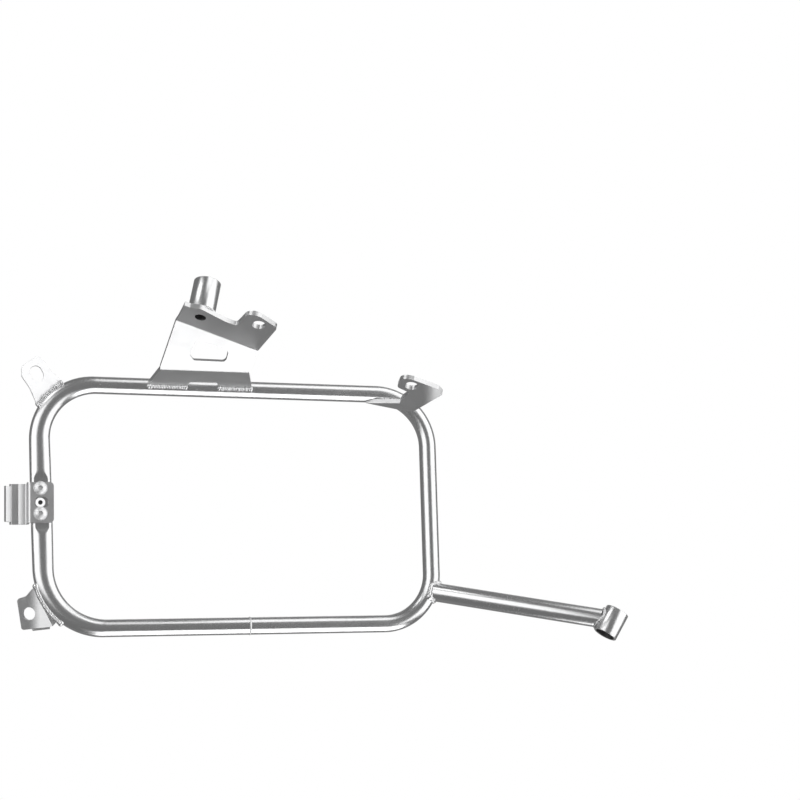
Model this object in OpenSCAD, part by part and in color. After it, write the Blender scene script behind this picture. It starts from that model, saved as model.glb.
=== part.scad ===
// Left pannier frame of a motorbike: a bent tube hoop, its fixing plates and its lower stay.
// X runs to the front of the bike, Y away from the bike and Z up. The stay's bush is at the origin.

/* [Hoop] */
// Outside diameter of the hoop tube, mm
tube_d = 18; // [17.5:0.1:18.5]
// Wall of the hoop tube, mm
tube_wall = 2; // [1.5:0.1:2.2]
// Length of the bottom rail between its corner points, mm
bottom_run = 404.8; // [395:0.2:415]
// Height of the front upright between its corner points, mm
front_rise = 242.5; // [238:0.5:247]
// Height of the rear upright between its corner points, mm
rear_rise = 251.7; // [248:0.1:256]
// How far the rear upright's top leans to the rear, mm
rear_lean = 6.2; // [4:0.2:8]
// Centre-line radius of the lower rear bend, mm
bend_rear_low = 63; // [61:0.5:65]
// Centre-line radius of the lower front bend, mm
bend_front_low = 52.5; // [51:0.5:54]
// Centre-line radius of the upper front bend, mm
bend_front_top = 57; // [56:0.5:58]
// Centre-line radius of the upper rear bend, mm
bend_rear_top = 56; // [55:0.5:57]
// How much wider the pressed rear stretch is on each side, mm
press_spread = 2; // [1.6:0.1:2.2]
// Where the hoop's butt weld is along the bottom rail, mm
butt_at = 209.3; // [180:0.1:230]

/* [Clip] */
// Height of the clip's middle above the bottom rail's centre line, mm
clip_height = 128; // [124:0.5:132]
// Length of the clip along the rear upright, mm
clip_length = 41.5; // [40:0.5:43]
// Length of the flat pressed into the rear upright, mm
flat_length = 51.2; // [50:0.2:53]
// Distance of the pressed flat from the tube's middle, mm
flat_depth = 4.9; // [4.7:0.1:5.2]
// Thickness of the clip's sheet, mm
clip_t = 2.5; // [2:0.1:3]
// Distance between the clip's two screws, mm
screw_spacing = 25.9; // [25:0.1:27]

/* [Top bracket] */
// Thickness of the bracket and of the corner plate, mm
plate_t = 5; // [4.5:0.1:5.2]
// Inside radius of the bracket's folds, mm
fold_r = 4; // [3:0.5:5]
// Where the bracket's rear fold end is along the top rail, mm
bracket_at = 120.1; // [110:0.5:130]
// Length of the bracket's lower fold, mm
bracket_w = 92.3; // [91:0.1:94]
// Length of the lower flange from the tube to its fold, mm
foot_len = 36.6; // [34:0.2:40]
// Rise of the lower flange above level, degrees
foot_rise = 18; // [16:0.5:20]
// Angle of the lower fold, degrees
lower_fold = 36; // [34:0.5:38]
// Angle of the upper fold, degrees
upper_fold = 40; // [38:0.5:42]
// Length of the bracket's upper fold, mm
upper_w = 91.9; // [91:0.1:93]
// Diameter of the bolt hole under the spacer, mm
bolt_d = 11.5; // [10:0.1:12.5]
// Outside diameter of the spacer, mm
spacer_d = 28; // [26:0.5:29]
// Length of the spacer, mm
spacer_len = 35.5; // [30:0.5:40]
// Width of the slots in the ear and in the corner plate, mm
slot_w = 12.5; // [11:0.1:13]
// Length of the slots in the ear and in the corner plate, mm
slot_len = 17; // [14:0.5:18]

/* [Lower stay] */
// Outside diameter of the stay tube, mm
stay_d = 20; // [19:0.5:22]
// Length of the stay from the hoop's centre line to its end, mm
stay_len = 198.4; // [185:0.2:210]
// Heading of the stay towards the bike, degrees
stay_out = 29.2; // [26:0.1:32]
// Drop of the stay below level, degrees
stay_drop = 11.4; // [9:0.1:14]
// Bore of the stay's bush, mm
bush_bore = 20; // [18:0.1:21]
// Outside diameter of the stay's bush, mm
bush_d = 25; // [24:0.5:27]
// Length of the stay's bush, mm
bush_len = 28; // [26:0.5:32]

/* [Tabs] */
// Thickness of the upper and the lower tab, mm
tab_t = 4; // [3:0.5:5]
// Diameter of the lower tab's hole, mm
tab_hole = 13; // [11:0.5:14]

/* [Hidden] */
$fn = 72;

steel = [0.78, 0.79, 0.80];
bead_steel = [0.62, 0.62, 0.63];
screw_steel = [0.70, 0.71, 0.73];

tube_r = tube_d / 2;
stay_r = stay_d / 2;
// how far a bead grows out of the metal on each side of its seam
bead = 2.6;
bead_facets = 32;
// air between parts that are screwed rather than welded
seat = 0.05;

// the hoop's centre line, drawn flat: rear low, front low, front top, rear top
corner = [[0, 0], [bottom_run, 0], [bottom_run, front_rise], [-rear_lean, rear_rise]];
bend_r = [bend_rear_low, bend_front_low, bend_front_top, bend_rear_top];

function following(i) = (i + 1) % 4;
function before(i) = (i + 3) % 4;
function along(a) = [cos(a), sin(a)];
function unit(v) = v / norm(v);
function side(i) = corner[following(i)] - corner[i];
function heading(i) = atan2(side(i)[1], side(i)[0]);
function turn(i) = (heading(i) - heading(before(i)) + 360) % 360;
function tangent(i) = bend_r[i] * tan(turn(i) / 2);
function bend_start(i) = corner[i] - tangent(i) * along(heading(before(i)));
function bend_centre(i) = bend_start(i) + bend_r[i] * along(heading(before(i)) + 90);
function bend_length(i) = bend_r[i] * turn(i) * PI / 180;
function straight_length(i) = norm(side(i)) - tangent(i) - tangent(following(i));

// the pressed stretch: down the upper rear bend, the rear upright and the lower rear bend
press_a = bend_length(3);
press_b = press_a + straight_length(3);
press_c = press_b + bend_length(0);
ring_points = 32;
// how far a straight reaches into a bend, how many degrees a fold reaches into its flats,
// and how much thinner the metal that reaches in is
plug = 1;
fold_reach = 3;
slip = 0.02;
// radius that the pressed bends have on their outside
press_round = 6.6;
bend_steps = 14;
upright_steps = 8;
stations = concat([-plug, plug], [for (k = [1:bend_steps - 1]) press_a * k / bend_steps],
                  [for (k = [0:upright_steps - 1]) press_a + (press_b - press_a) * k / upright_steps],
                  [for (k = [0:bend_steps - 1]) press_b + (press_c - press_b) * k / bend_steps],
                  [press_c - plug, press_c + plug]);

function swing(i, s) = heading(before(i)) + s / bend_r[i] * 180 / PI;
function press_heading(s) = s < press_a ? swing(3, s) : s < press_b ? heading(3) : swing(0, s - press_b);
function press_point(s) =
    s < press_a ? bend_centre(3) + bend_r[3] * along(swing(3, s) - 90)
    : s < press_b ? corner[3] + (tangent(3) + s - press_a) * along(heading(3))
    : bend_centre(0) + bend_r[0] * along(swing(0, s - press_b) - 90);
function squash(s) = pow(max(0, sin(180 * (s - plug) / (press_c - 2 * plug))), 0.75);
function half_wide(s) = tube_r + press_spread * squash(s);
function half_deep(s) = sqrt(2 * tube_r * tube_r - half_wide(s) * half_wide(s));
function ring(s, grow) =
    let (p = press_point(s), out = along(press_heading(s) - 90), thin = grow - 2 * slip * (1 - squash(s)),
         a = half_wide(s) + thin, b = half_deep(s) + thin)
    [for (k = [0:ring_points - 1]) let (t = 360 * k / ring_points)
        [p[0] + a * cos(t) * out[0], p[1] + a * cos(t) * out[1], b * sin(t)]];

butt_bead_r = 1.9;
butt_bead_sunk = 0.9;

// the upright's centre line where the clip sits
clip_x = -rear_lean * clip_height / rear_rise;
flat_low = clip_height - flat_length / 2;
flat_high = clip_height + flat_length / 2;
clip_inner = 1.2;
clip_outer = clip_inner + clip_t;
clip_front = flat_depth + 2 * seat + clip_t;
clip_left = -10.8;
clip_right = 12.2;
clip_back = -12;
clip_flat = 13;
clip_corner = 4;
clip_slot_len = 14.3;
clip_slot_w = 11.5;
lip_angle = 46;
lip_len = 8;
lip_inset = 2.5;
fixing_x = -1.3;
fixing_y = 1.5;
// ramps at the ends of the pressed flat: their run for each millimetre they rise, and their height
ramp_run = 3.6;
ramp_rise = 6;
press_half = 18;

// the clip's screws: round shank, washer rim and domed head with a hexagon socket
screw_r = 3;
screw_len = 9;
screw_washer_d = 14;
screw_washer_t = 1;
screw_head_d = 12;
screw_head_h = 3.8;
screw_dome_r = 9;
screw_socket_d = 4.6;
screw_socket_h = 2.2;
// and its hollow rivet
rivet_r = 3.5;
rivet_len = 6;
rivet_head_d = 10;
rivet_head_t = 1.4;
rivet_bore = 4.4;

// the folded bracket
fold_out = fold_r + plate_t;
lower_set = fold_out * tan(lower_fold / 2);
upper_set = fold_r * tan(upper_fold / 2);
rail_fall = atan2(rear_rise - front_rise, bottom_run + rear_lean);
upper_at = [11.8, 55.5];
upper_turn = -19.65;
bolt_at = [16.8, 22.7];
ear_at = [69.5, 50.4];
// outlines are lists of [along the fold, away from the fold, corner radius]
foot_under = 4;
foot_flare = [9.1, 9.5];
notch_outline = [[31.1, -6, 0], [67.3, -6, 0], [62.1, 12.2, 5], [34.5, 12.2, 5]];
window_outline = [[28.9, 16.9, 3], [33.3, 11.2, 3], [66.8, 10.8, 4.5], [68.6, 23.9, 5], [34, 35.5, 4.5]];
flange_edge = [[87.1, 57.6, 4], [66, 65.7, 0], [55.1, 67.7, 4], [51.3, 61.6, 4], [52.4, 32.7, 3],
               [39.9, 32.7, 12], [10.3, 38.8, 8], [0.5, 34, 3], [-5.6, 34, 0]];
rear_foot_bead = [-8.4, 33];
front_foot_bead = [65, bracket_w + 8.8];
spacer_bead = 1.8;

// the corner plate lies level with the bracket's upper flange
corner_roll = 14.24;
corner_pitch = -15.3;
corner_inset = 5.3;
corner_lift = 1;
corner_seat = bend_centre(2) + (bend_r[2] - corner_inset) * along(45);
corner_edge = [[-47.5, -6.1, 0], [0, 0, 0], [4.3, 8, 0], [6.6, 15.7, 8], [18.9, 57.3, 6], [10.8, 66, 4],
               [-17.4, 71.1, 3], [-25.2, 70.1, 3], [-30.3, 65.7, 3], [-28.6, 47, 2], [-12.8, 41.8, 4],
               [-16.5, 23.9, 6], [-15.6, 13.7, 0]];
corner_slot_at = [-16, 57.7];
corner_bead = [[-46, -5.4], [-3, 0.2], [-3.5, 4.5], [-17.2, 12.2]];
corner_bead_rise = 4.5;

// the upper tab, drawn from the hoop's upper rear corner point
upper_tab_edge = [[-1.2, 28.4, 2], [-13.5, 19.9, 0], [-16.8, 16.1, 3], [-16.8, 7.3, 4], [-8.5, -5.2, 0],
                  [-4.5, -14.6, 0], [-0.4, -25, 0], [10, -25, 0], [27, -2, 0], [22.4, 5.2, 0],
                  [20.5, 6.8, 3], [13.7, 12.3, 6], [4.7, 25.7, 2]];
upper_slot_at = [-1.4, 9.8];
upper_slot_angle = 26;
upper_bead_arc = [119, 151];

// the lower tab: a strip beside the tube, the flat folded back and a lip under it
tab_fold_at = [6.7, 6.9];
tab_fold_heading = 115.8;
tab_fold = 25;
strip_edge = [[-4, 0.5], [39.5, 0.5], [41, -1.6], [36, -16], [2, -16]];
lip_from = [-3.4, 3.5];
lip_to = [5.95, 29.6];
lower_tab_edge = [[lip_from[0], 0, 0], [lip_from[0], lip_from[1], 0], [lip_to[0], lip_to[1], 2], [8, 30.7, 2],
                  [35, 21.8, 2], [36.4, 19.3, 2], [35.2, 11.1, 4], [39, 2, 0], [39, 0, 0]];
lower_hole_at = [18, 16.6];
lip_size = [18, 3.2];
lip_turn = -65;
lower_bead_arc = [194, 233];
// a tab's bead: its own radius and how far outside the tube it is centred
tab_bead_r = 2.4;
tab_bead_out = 1;
tab_bead_bite = 0.55;

// the stay's root lies on the lower front bend
root_angle = -21;
stay_wall = 2;
root = bend_centre(1) + bend_r[1] * along(root_angle);
stay_root = [root[0], 0, root[1]];
stay_way = [cos(stay_drop) * cos(stay_out), -cos(stay_drop) * sin(stay_out), -sin(stay_drop)];
bush_lean = 32.2;
bush_tilt = -1.3;
bush_axis = [sin(bush_lean) * cos(bush_tilt), -sin(bush_tilt), cos(bush_lean) * cos(bush_tilt)];
bush_slip = 3;
bush_at = stay_root + stay_len * stay_way - bush_slip * bush_axis;

// an outline of [x, y, corner radius] points with its corners rounded
function rounded(q, n = 5) = [for (i = [0:len(q) - 1])
    let (p = [q[i][0], q[i][1]], r = q[i][2],
         a = q[(i + len(q) - 1) % len(q)], b = q[(i + 1) % len(q)],
         u = unit([a[0], a[1]] - p), v = unit([b[0], b[1]] - p), half = acos(u * v) / 2,
         c = p + unit(u + v) * r / sin(half), s = p + u * r / tan(half) - c, e = p + v * r / tan(half) - c,
         from = atan2(s[1], s[0]), sweep = (atan2(e[1], e[0]) - from + 540) % 360 - 180)
    each r == 0 ? [p] : [for (k = [0:n]) c + r * along(from + sweep * k / n)]];

// frames
module flat() rotate([90, 0, 0]) children();
module rail_frame() translate([-rear_lean, 0, rear_rise]) rotate([0, rail_fall, 0]) children();
module foot_frame() rail_frame()
    translate([bracket_at, -tube_r, 0]) rotate([180 - foot_rise, 0, 0]) children();
module web_frame() foot_frame() translate([0, foot_len, 0]) rotate([-lower_fold, 0, 0]) children();
module fold_frame() web_frame() translate([upper_at[0], upper_at[1], 0]) rotate(upper_turn) children();
module flange_frame() fold_frame() rotate([upper_fold, 0, 0]) children();
module bolt_frame() flange_frame() translate([bolt_at[0], bolt_at[1], -plate_t]) children();
module corner_frame() translate([corner_seat[0], -tube_r - corner_lift, corner_seat[1]])
    rotate([0, corner_roll, 0]) rotate([corner_pitch, 0, 0]) mirror([0, 1, 0]) children();
module stay_frame() translate(stay_root) rotate([0, 90 + stay_drop, -stay_out]) children();
module bush_frame() translate(bush_at) rotate([0, bush_lean, 0]) rotate([bush_tilt, 0, 0]) children();
module clip_frame() flat() translate([clip_x, clip_height, 0]) children();

// hoop
module straight(i, r, low, high) translate(corner[i]) rotate(heading(i)) translate([tangent(i) - low, 0, 0])
    rotate([0, 90, 0]) cylinder(h = straight_length(i) + low + high, r = r - slip);
module bend(i, r) translate(bend_centre(i)) rotate(heading(before(i)) - 90)
    rotate_extrude(angle = turn(i)) translate([bend_r[i], 0]) circle(r = r);

module round_run(grow = 0) flat() {
    straight(0, tube_r + grow, 0, plug);
    bend(1, tube_r + grow);
    straight(1, tube_r + grow, plug, plug);
    bend(2, tube_r + grow);
    straight(2, tube_r + grow, plug, 0);
}

module pressed_run(grow = 0) {
    n = ring_points;
    last = len(stations) - 1;
    flat() polyhedron(
        points = [for (s = stations) each ring(s, grow)],
        faces = concat(
            [[for (k = [0:n - 1]) n - 1 - k], [for (k = [0:n - 1]) last * n + k]],
            [for (j = [0:last - 1], k = [0:n - 1]) [j * n + k, j * n + (k + 1) % n, (j + 1) * n + (k + 1) % n]],
            [for (j = [0:last - 1], k = [0:n - 1]) [j * n + k, (j + 1) * n + (k + 1) % n, (j + 1) * n + k]]),
        convexity = 6);
}

// the metal in front of the pressed flat, with a ramp at each end
module flat_press(depth) flat() translate([clip_x - press_half, 0, 0]) rotate([90, 0, 90])
    linear_extrude(2 * press_half)
    polygon([[flat_low, depth], [flat_high, depth], [flat_high + ramp_run * ramp_rise, depth + ramp_rise],
             [flat_low - ramp_run * ramp_rise, depth + ramp_rise]]);

module hoop_tube() color(steel) difference() {
    union() {
        round_run();
        pressed_run();
    }
    flat_press(flat_depth);
    difference() {
        union() {
            round_run(-tube_wall);
            pressed_run(-tube_wall);
        }
        flat_press(flat_depth - tube_wall);
    }
    clip_frame() for (y = [-screw_spacing / 2, screw_spacing / 2]) translate([fixing_x, fixing_y + y, 0])
        cylinder(h = tube_r, r = screw_r + seat);
    clip_frame() translate([fixing_x, 0, 0]) cylinder(h = tube_r, r = rivet_r + seat);
}

module hoop_butt_weld() color(bead_steel) translate([butt_at, 0, 0]) rotate([0, 90, 0]) difference() {
    rotate_extrude() translate([tube_r - butt_bead_sunk, 0]) circle(r = butt_bead_r, $fn = bead_facets);
    cylinder(h = 4 * butt_bead_r, r = tube_r, center = true);
}

// top bracket: lower flange, lower fold, web, upper fold and upper flange
module fold(length, centre_v, centre_w, from, angle) translate([0, centre_v, centre_w])
    rotate([90, 0, 90]) rotate(from - fold_reach) rotate_extrude(angle = angle + 2 * fold_reach)
    translate([fold_r + slip, slip]) square([plate_t - 2 * slip, length - 2 * slip]);

module foot_plate() foot_frame() translate([0, 0, -plate_t]) linear_extrude(plate_t) difference() {
    polygon([[-foot_flare[0], -foot_under], [bracket_w + foot_flare[1], -foot_under],
             [bracket_w, foot_len - lower_set], [0, foot_len - lower_set]]);
    polygon(rounded(notch_outline));
}

module web_plate() {
    back = upper_set * along(90 + upper_turn);
    far = upper_at + upper_w * along(upper_turn);
    web_frame() translate([0, 0, -plate_t]) linear_extrude(plate_t) difference() {
        polygon([[0, lower_set], [bracket_w, lower_set], far - back, upper_at - back]);
        polygon(rounded(window_outline));
    }
}

module slot_cut(angle) rotate(angle) {
    for (y = [-1, 1]) translate([0, y * (slot_len - slot_w) / 2]) circle(d = slot_w);
    square([slot_w, slot_len - slot_w], center = true);
}

module flange_plate() flange_frame() translate([0, 0, -plate_t]) linear_extrude(plate_t) difference() {
    polygon(rounded(concat([[0, upper_set, 0], [upper_w, upper_set, 0]], flange_edge)));
    translate(bolt_at) circle(d = bolt_d);
    translate(ear_at) slot_cut(0);
}

module top_bracket() color(steel) difference() {
    union() {
        foot_plate();
        foot_frame() fold(bracket_w, foot_len - lower_set, -fold_out, 90 - lower_fold, lower_fold);
        web_plate();
        fold_frame() fold(upper_w, -upper_set, fold_r, -90, upper_fold);
        flange_plate();
    }
    round_run();
}

// beads along the bracket's two feet
module foot_weld(span) color(bead_steel) difference() {
    intersection() {
        foot_frame() translate([span[0], -6, 0]) cube([span[1] - span[0], 12, bead]);
        rail_frame() rotate([0, 90, 0]) cylinder(h = bracket_at + bracket_w + 60, r = tube_r + bead);
    }
    round_run();
}

module bracket_weld_rear() foot_weld(rear_foot_bead);
module bracket_weld_front() foot_weld(front_foot_bead);

module spacer_tube() color(steel) bolt_frame() mirror([0, 0, 1]) difference() {
    cylinder(h = spacer_len, d = spacer_d);
    translate([0, 0, -1]) cylinder(h = spacer_len + 2, d = bolt_d);
}

module spacer_weld() color(bead_steel) difference() {
    bolt_frame() mirror([0, 0, 1]) intersection() {
        rotate_extrude() translate([spacer_d / 2, 0]) circle(r = spacer_bead, $fn = bead_facets);
        cylinder(h = 2 * spacer_bead, d = spacer_d + 4 * spacer_bead);
    }
    bolt_frame() cylinder(h = spacer_len, d = spacer_d, center = true);
}

// corner plate on the upper front bend
module corner_plate() color(steel) difference() {
    corner_frame() linear_extrude(plate_t) difference() {
        polygon(rounded(corner_edge));
        translate(corner_slot_at) slot_cut(0);
    }
    round_run();
}

module corner_plate_weld() color(bead_steel) difference() {
    corner_frame() translate([0, 0, plate_t]) linear_extrude(corner_bead_rise) polygon(corner_bead);
    round_run();
}

// tabs at the two rear bends
module upper_tab_body() flat() translate([0, 0, -tab_t / 2]) linear_extrude(tab_t) difference() {
    translate(corner[3]) polygon(rounded(upper_tab_edge));
    translate(corner[3] + upper_slot_at) slot_cut(upper_slot_angle);
}

module upper_tab() color(steel) difference() {
    upper_tab_body();
    pressed_run();
}

// a bead on a tab's front face, following the outside of a rear bend
module tab_bead(i, arc) flat() translate(bend_centre(i)) rotate(arc[0]) difference() {
    rotate_extrude(angle = arc[1] - arc[0]) translate([bend_r[i] + tube_r + tab_bead_out, tab_t / 2])
        circle(r = tab_bead_r, $fn = bead_facets);
    rotate(-5) rotate_extrude(angle = arc[1] - arc[0] + 10)
        translate([bend_r[i] + tube_r + tab_bead_out + tab_bead_bite - press_round, 0]) circle(r = press_round);
}

module upper_tab_weld() color(bead_steel) difference() {
    tab_bead(3, upper_bead_arc);
    upper_tab_body();
}

module tab_strip_frame() flat() translate(tab_fold_at) rotate(tab_fold_heading) children();
module tab_flat_frame() tab_strip_frame() rotate([-tab_fold, 0, 0]) children();

module lower_tab_body() {
    tab_strip_frame() translate([0, 0, -tab_t / 2]) linear_extrude(tab_t) polygon(strip_edge);
    tab_flat_frame() translate([0, 0, -tab_t / 2]) linear_extrude(tab_t) difference() {
        polygon(rounded(lower_tab_edge));
        translate(lower_hole_at) circle(d = tab_hole);
    }
    tab_flat_frame() translate([lip_from[0], lip_from[1], -tab_t / 2])
        rotate(atan2(lip_to[1] - lip_from[1], lip_to[0] - lip_from[0])) rotate([lip_turn, 0, 0])
        translate([1, -tab_t / 2, -1]) cube([lip_size[0], lip_size[1], tab_t * 0.8]);
}

module lower_tab() color(steel) difference() {
    lower_tab_body();
    pressed_run();
}

module lower_tab_weld() color(bead_steel) difference() {
    tab_bead(0, lower_bead_arc);
    lower_tab_body();
}

// clip on the rear upright: a front plate, a wall past the tube, a flat behind it and a lip
module clip_section() translate([0, clip_length / 2, 0]) rotate([90, 0, 0]) children();
module clip_curve(x, z, from, angle) translate([x, z, 0]) rotate(from - fold_reach)
    rotate_extrude(angle = angle + 2 * fold_reach)
    translate([clip_inner + slip, slip]) square([clip_t - 2 * slip, clip_length - 2 * slip]);

module clip_front_plate() translate([0, 0, clip_front - clip_t]) linear_extrude(clip_t) difference() {
    polygon(rounded([[clip_left, -clip_length / 2, 0], [clip_right, -clip_length / 2, clip_corner],
                     [clip_right, clip_length / 2, clip_corner], [clip_left, clip_length / 2, 0]]));
    for (y = [-screw_spacing / 2, screw_spacing / 2]) translate([fixing_x, fixing_y + y])
        circle(r = screw_r + 0.2);
    square([clip_slot_len - clip_slot_w, clip_slot_w], center = true);
    for (x = [-1, 1]) translate([x * (clip_slot_len - clip_slot_w) / 2, 0]) circle(d = clip_slot_w);
}

module clip_plate() color(steel) clip_frame() {
    clip_front_plate();
    clip_section() {
        clip_curve(clip_left, clip_front - clip_outer, 90, 90);
        translate([clip_left - clip_outer, clip_back + clip_outer, 0])
            cube([clip_t, clip_front - clip_back - 2 * clip_outer, clip_length]);
        clip_curve(clip_left - clip_outer - clip_inner, clip_back + clip_outer, -90, 90);
        translate([clip_left - clip_outer - clip_inner - clip_flat, clip_back, 0])
            cube([clip_flat, clip_t, clip_length]);
        translate([clip_left - clip_outer - clip_inner - clip_flat, clip_back + clip_outer, 0]) {
            clip_curve(0, 0, -90 - lip_angle, lip_angle);
            rotate(-90 - lip_angle) translate([clip_inner, -lip_len, lip_inset])
                cube([clip_t, lip_len, clip_length - 2 * lip_inset]);
        }
    }
}

module clip_screws() color(screw_steel) clip_frame() for (y = [-screw_spacing / 2, screw_spacing / 2])
    translate([fixing_x, fixing_y + y, clip_front + seat]) difference() {
        union() {
            cylinder(h = screw_washer_t, d = screw_washer_d);
            intersection() {
                translate([0, 0, screw_head_h - screw_dome_r]) sphere(r = screw_dome_r);
                cylinder(h = screw_head_h + 1, d = screw_head_d);
            }
            translate([0, 0, -screw_len]) cylinder(h = screw_len + screw_washer_t, r = screw_r);
        }
        translate([0, 0, screw_head_h - screw_socket_h])
            cylinder(h = screw_head_h, d = screw_socket_d, $fn = 6);
    }

module clip_rivet() color(screw_steel) clip_frame()
    translate([fixing_x, 0, flat_depth + seat]) difference() {
        union() {
            cylinder(h = rivet_head_t, d = rivet_head_d);
            translate([0, 0, -rivet_len]) cylinder(h = rivet_len + 1, r = rivet_r);
        }
        translate([0, 0, -rivet_len - 1]) cylinder(h = rivet_len + 4, d = rivet_bore);
    }

// lower stay
module stay_solid(grow = 0) stay_frame() cylinder(h = stay_len, r = stay_r + grow);
module bush_solid(grow = 0) bush_frame() cylinder(h = bush_len + 2 * grow, d = bush_d + 2 * grow, center = true);

module root_bend(grow = 0) flat() bend(1, tube_r + grow);

module stay_tube() color(steel) difference() {
    stay_solid();
    stay_frame() translate([0, 0, -1]) cylinder(h = stay_len + 2, r = stay_r - stay_wall);
    root_bend();
    bush_solid();
}

module stay_root_weld() color(bead_steel) difference() {
    intersection() {
        root_bend(bead);
        stay_solid(bead);
    }
    root_bend();
    stay_solid();
}

module stay_bush() color(steel) bush_frame() difference() {
    cylinder(h = bush_len, d = bush_d, center = true);
    cylinder(h = bush_len + 2, d = bush_bore, center = true);
}

module stay_bush_weld() color(bead_steel) difference() {
    intersection() {
        bush_frame() cylinder(h = bush_len - 1, d = bush_d + 2 * bead, center = true);
        stay_solid(bead);
    }
    bush_solid();
    stay_solid();
}

translate(-bush_at) {
    hoop_tube();
    hoop_butt_weld();
    top_bracket();
    bracket_weld_rear();
    bracket_weld_front();
    spacer_tube();
    spacer_weld();
    corner_plate();
    corner_plate_weld();
    upper_tab();
    upper_tab_weld();
    lower_tab();
    lower_tab_weld();
    clip_plate();
    clip_screws();
    clip_rivet();
    stay_tube();
    stay_root_weld();
    stay_bush();
    stay_bush_weld();
}
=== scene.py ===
import math
import bpy, bmesh
from mathutils import Euler, Matrix, Vector


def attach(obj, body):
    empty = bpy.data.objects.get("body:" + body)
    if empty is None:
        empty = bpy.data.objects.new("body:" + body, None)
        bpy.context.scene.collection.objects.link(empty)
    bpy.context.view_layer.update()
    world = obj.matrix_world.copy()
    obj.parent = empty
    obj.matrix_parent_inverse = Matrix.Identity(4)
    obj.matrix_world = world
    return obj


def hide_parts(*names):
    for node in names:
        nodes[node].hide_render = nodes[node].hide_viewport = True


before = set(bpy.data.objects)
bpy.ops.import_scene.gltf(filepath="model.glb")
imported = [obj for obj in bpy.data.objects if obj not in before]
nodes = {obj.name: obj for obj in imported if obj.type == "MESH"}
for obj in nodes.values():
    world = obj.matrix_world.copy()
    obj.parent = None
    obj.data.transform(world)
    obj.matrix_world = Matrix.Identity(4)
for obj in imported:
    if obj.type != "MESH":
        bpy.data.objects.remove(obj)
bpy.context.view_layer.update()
scene = bpy.context.scene
print("frame loaded:", len(nodes), "nodes")

# sizes are in millimetres and angles in degrees; places start from the hoop's rear bottom corner point
hoop = {
    "tube": 9.0, "corners": [(0, 0), (404.8, 0), (404.8, 242.5), (-6.2, 251.7)],
    "bends": [63.0, 52.5, 57.0, 56.0],
    "spread": 2.0, "plug": 1.0, "squashPower": 0.75, "flatDepth": 4.9, "flatFrom": 102.4, "flatTo": 153.6,
    "rampRun": 3.6, "rampRound": 0.25, "weldAt": 209.3, "around": 112, "girth": 56.5,
    "bendStep": 1.1, "straightStep": 9.0, "pressStep": 1.4}
bracket = {
    "at": 120.1, "rise": 18, "foot": 36.6, "lowerFold": 36, "webStart": 11.8, "webLength": 55.5,
    "slant": 19.65, "upperFold": 40, "bolt": (16.8, 22.7), "thick": 5}
cornerPlate = {"out": 51.7, "bearing": 45, "back": 10, "swing": 14.24, "tip": 15.3, "thick": 5}
stay = {
    "outer": 10.0, "inner": 8.0, "start": 4.0, "length": 198.4, "coped": 10.6, "edge": 0.3,
    "rootAngle": -21, "drop": 11.4, "out": 29.2}
bush = {
    "outer": 12.5, "inner": 10.0, "half": 14.0, "edge": 0.45, "darkTo": 10.2,
    "at": (569.48570448, -94.94983861, -8.06745977), "lean": 32.2, "tilt": -1.3}
spacer = {"outer": 14.0, "inner": 5.75, "length": 35.5, "edge": 0.6, "darkTo": 6.0}
clip = {
    "height": 128, "screwAcross": -1.3, "screwsAt": (-11.45, 14.45), "socket": 2.5, "rivetBore": 2.4,
    "boreFloor": 6.0}


def moved(x, y, z):
    return Matrix.Translation((x, y, z))


def turned(x, y, z):
    return (Matrix.Rotation(math.radians(z), 4, "Z") @ Matrix.Rotation(math.radians(y), 4, "Y")
            @ Matrix.Rotation(math.radians(x), 4, "X"))


def along(angle):
    return Vector((math.cos(math.radians(angle)), math.sin(math.radians(angle))))


# the hoop's centre line, drawn flat: the plane's second direction is up and its third faces the bike
flat = turned(90, 0, 0)
corners = [Vector(c) for c in hoop["corners"]]


def heading(i):
    side = corners[(i + 1) % 4] - corners[i % 4]
    return math.degrees(math.atan2(side.y, side.x))


def turn(i):
    return (heading(i) - heading((i + 3) % 4) + 360) % 360


def tangent(i):
    return hoop["bends"][i] * math.tan(math.radians(turn(i) / 2))


def bendLength(i):
    return hoop["bends"][i] * math.radians(turn(i))


def straightLength(i):
    return (corners[(i + 1) % 4] - corners[i]).length - tangent(i) - tangent((i + 1) % 4)


def bendCentre(i):
    back = heading((i + 3) % 4)
    return corners[i] - tangent(i) * along(back) + hoop["bends"][i] * along(back + 90)


def bendPoint(i, angle, across=0.0, rise=0.0):
    p = bendCentre(i) + (hoop["bends"][i] + across) * along(angle)
    return flat @ Vector((p.x, p.y, rise))


# the frames in which the pieces are drawn
topRear, topFront = corners[3], corners[2]
railFall = math.degrees(math.atan2(topRear.y - topFront.y, topFront.x - topRear.x))
railFrame = moved(topRear.x, 0, topRear.y) @ turned(0, railFall, 0)
footFrame = railFrame @ moved(bracket["at"], -hoop["tube"], 0) @ turned(180 - bracket["rise"], 0, 0)
webFrame = footFrame @ moved(0, bracket["foot"], 0) @ turned(-bracket["lowerFold"], 0, 0)
flangeFrame = (webFrame @ moved(bracket["webStart"], bracket["webLength"], 0)
               @ turned(0, 0, -bracket["slant"]) @ turned(bracket["upperFold"], 0, 0))
boltFrame = flangeFrame @ moved(*bracket["bolt"], -bracket["thick"])
seat = bendCentre(2) + cornerPlate["out"] * along(cornerPlate["bearing"])
cornerFrame = (moved(seat.x, -cornerPlate["back"], seat.y) @ turned(0, cornerPlate["swing"], 0)
               @ turned(-cornerPlate["tip"], 0, 0) @ Matrix.Diagonal((1, -1, 1, 1)))
clipFrame = flat @ moved(topRear.x * clip["height"] / topRear.y, clip["height"], 0)
stayFrame = Matrix.Translation(bendPoint(1, stay["rootAngle"])) @ turned(0, 90 + stay["drop"], -stay["out"])
bushAt = Vector(bush["at"])
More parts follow.
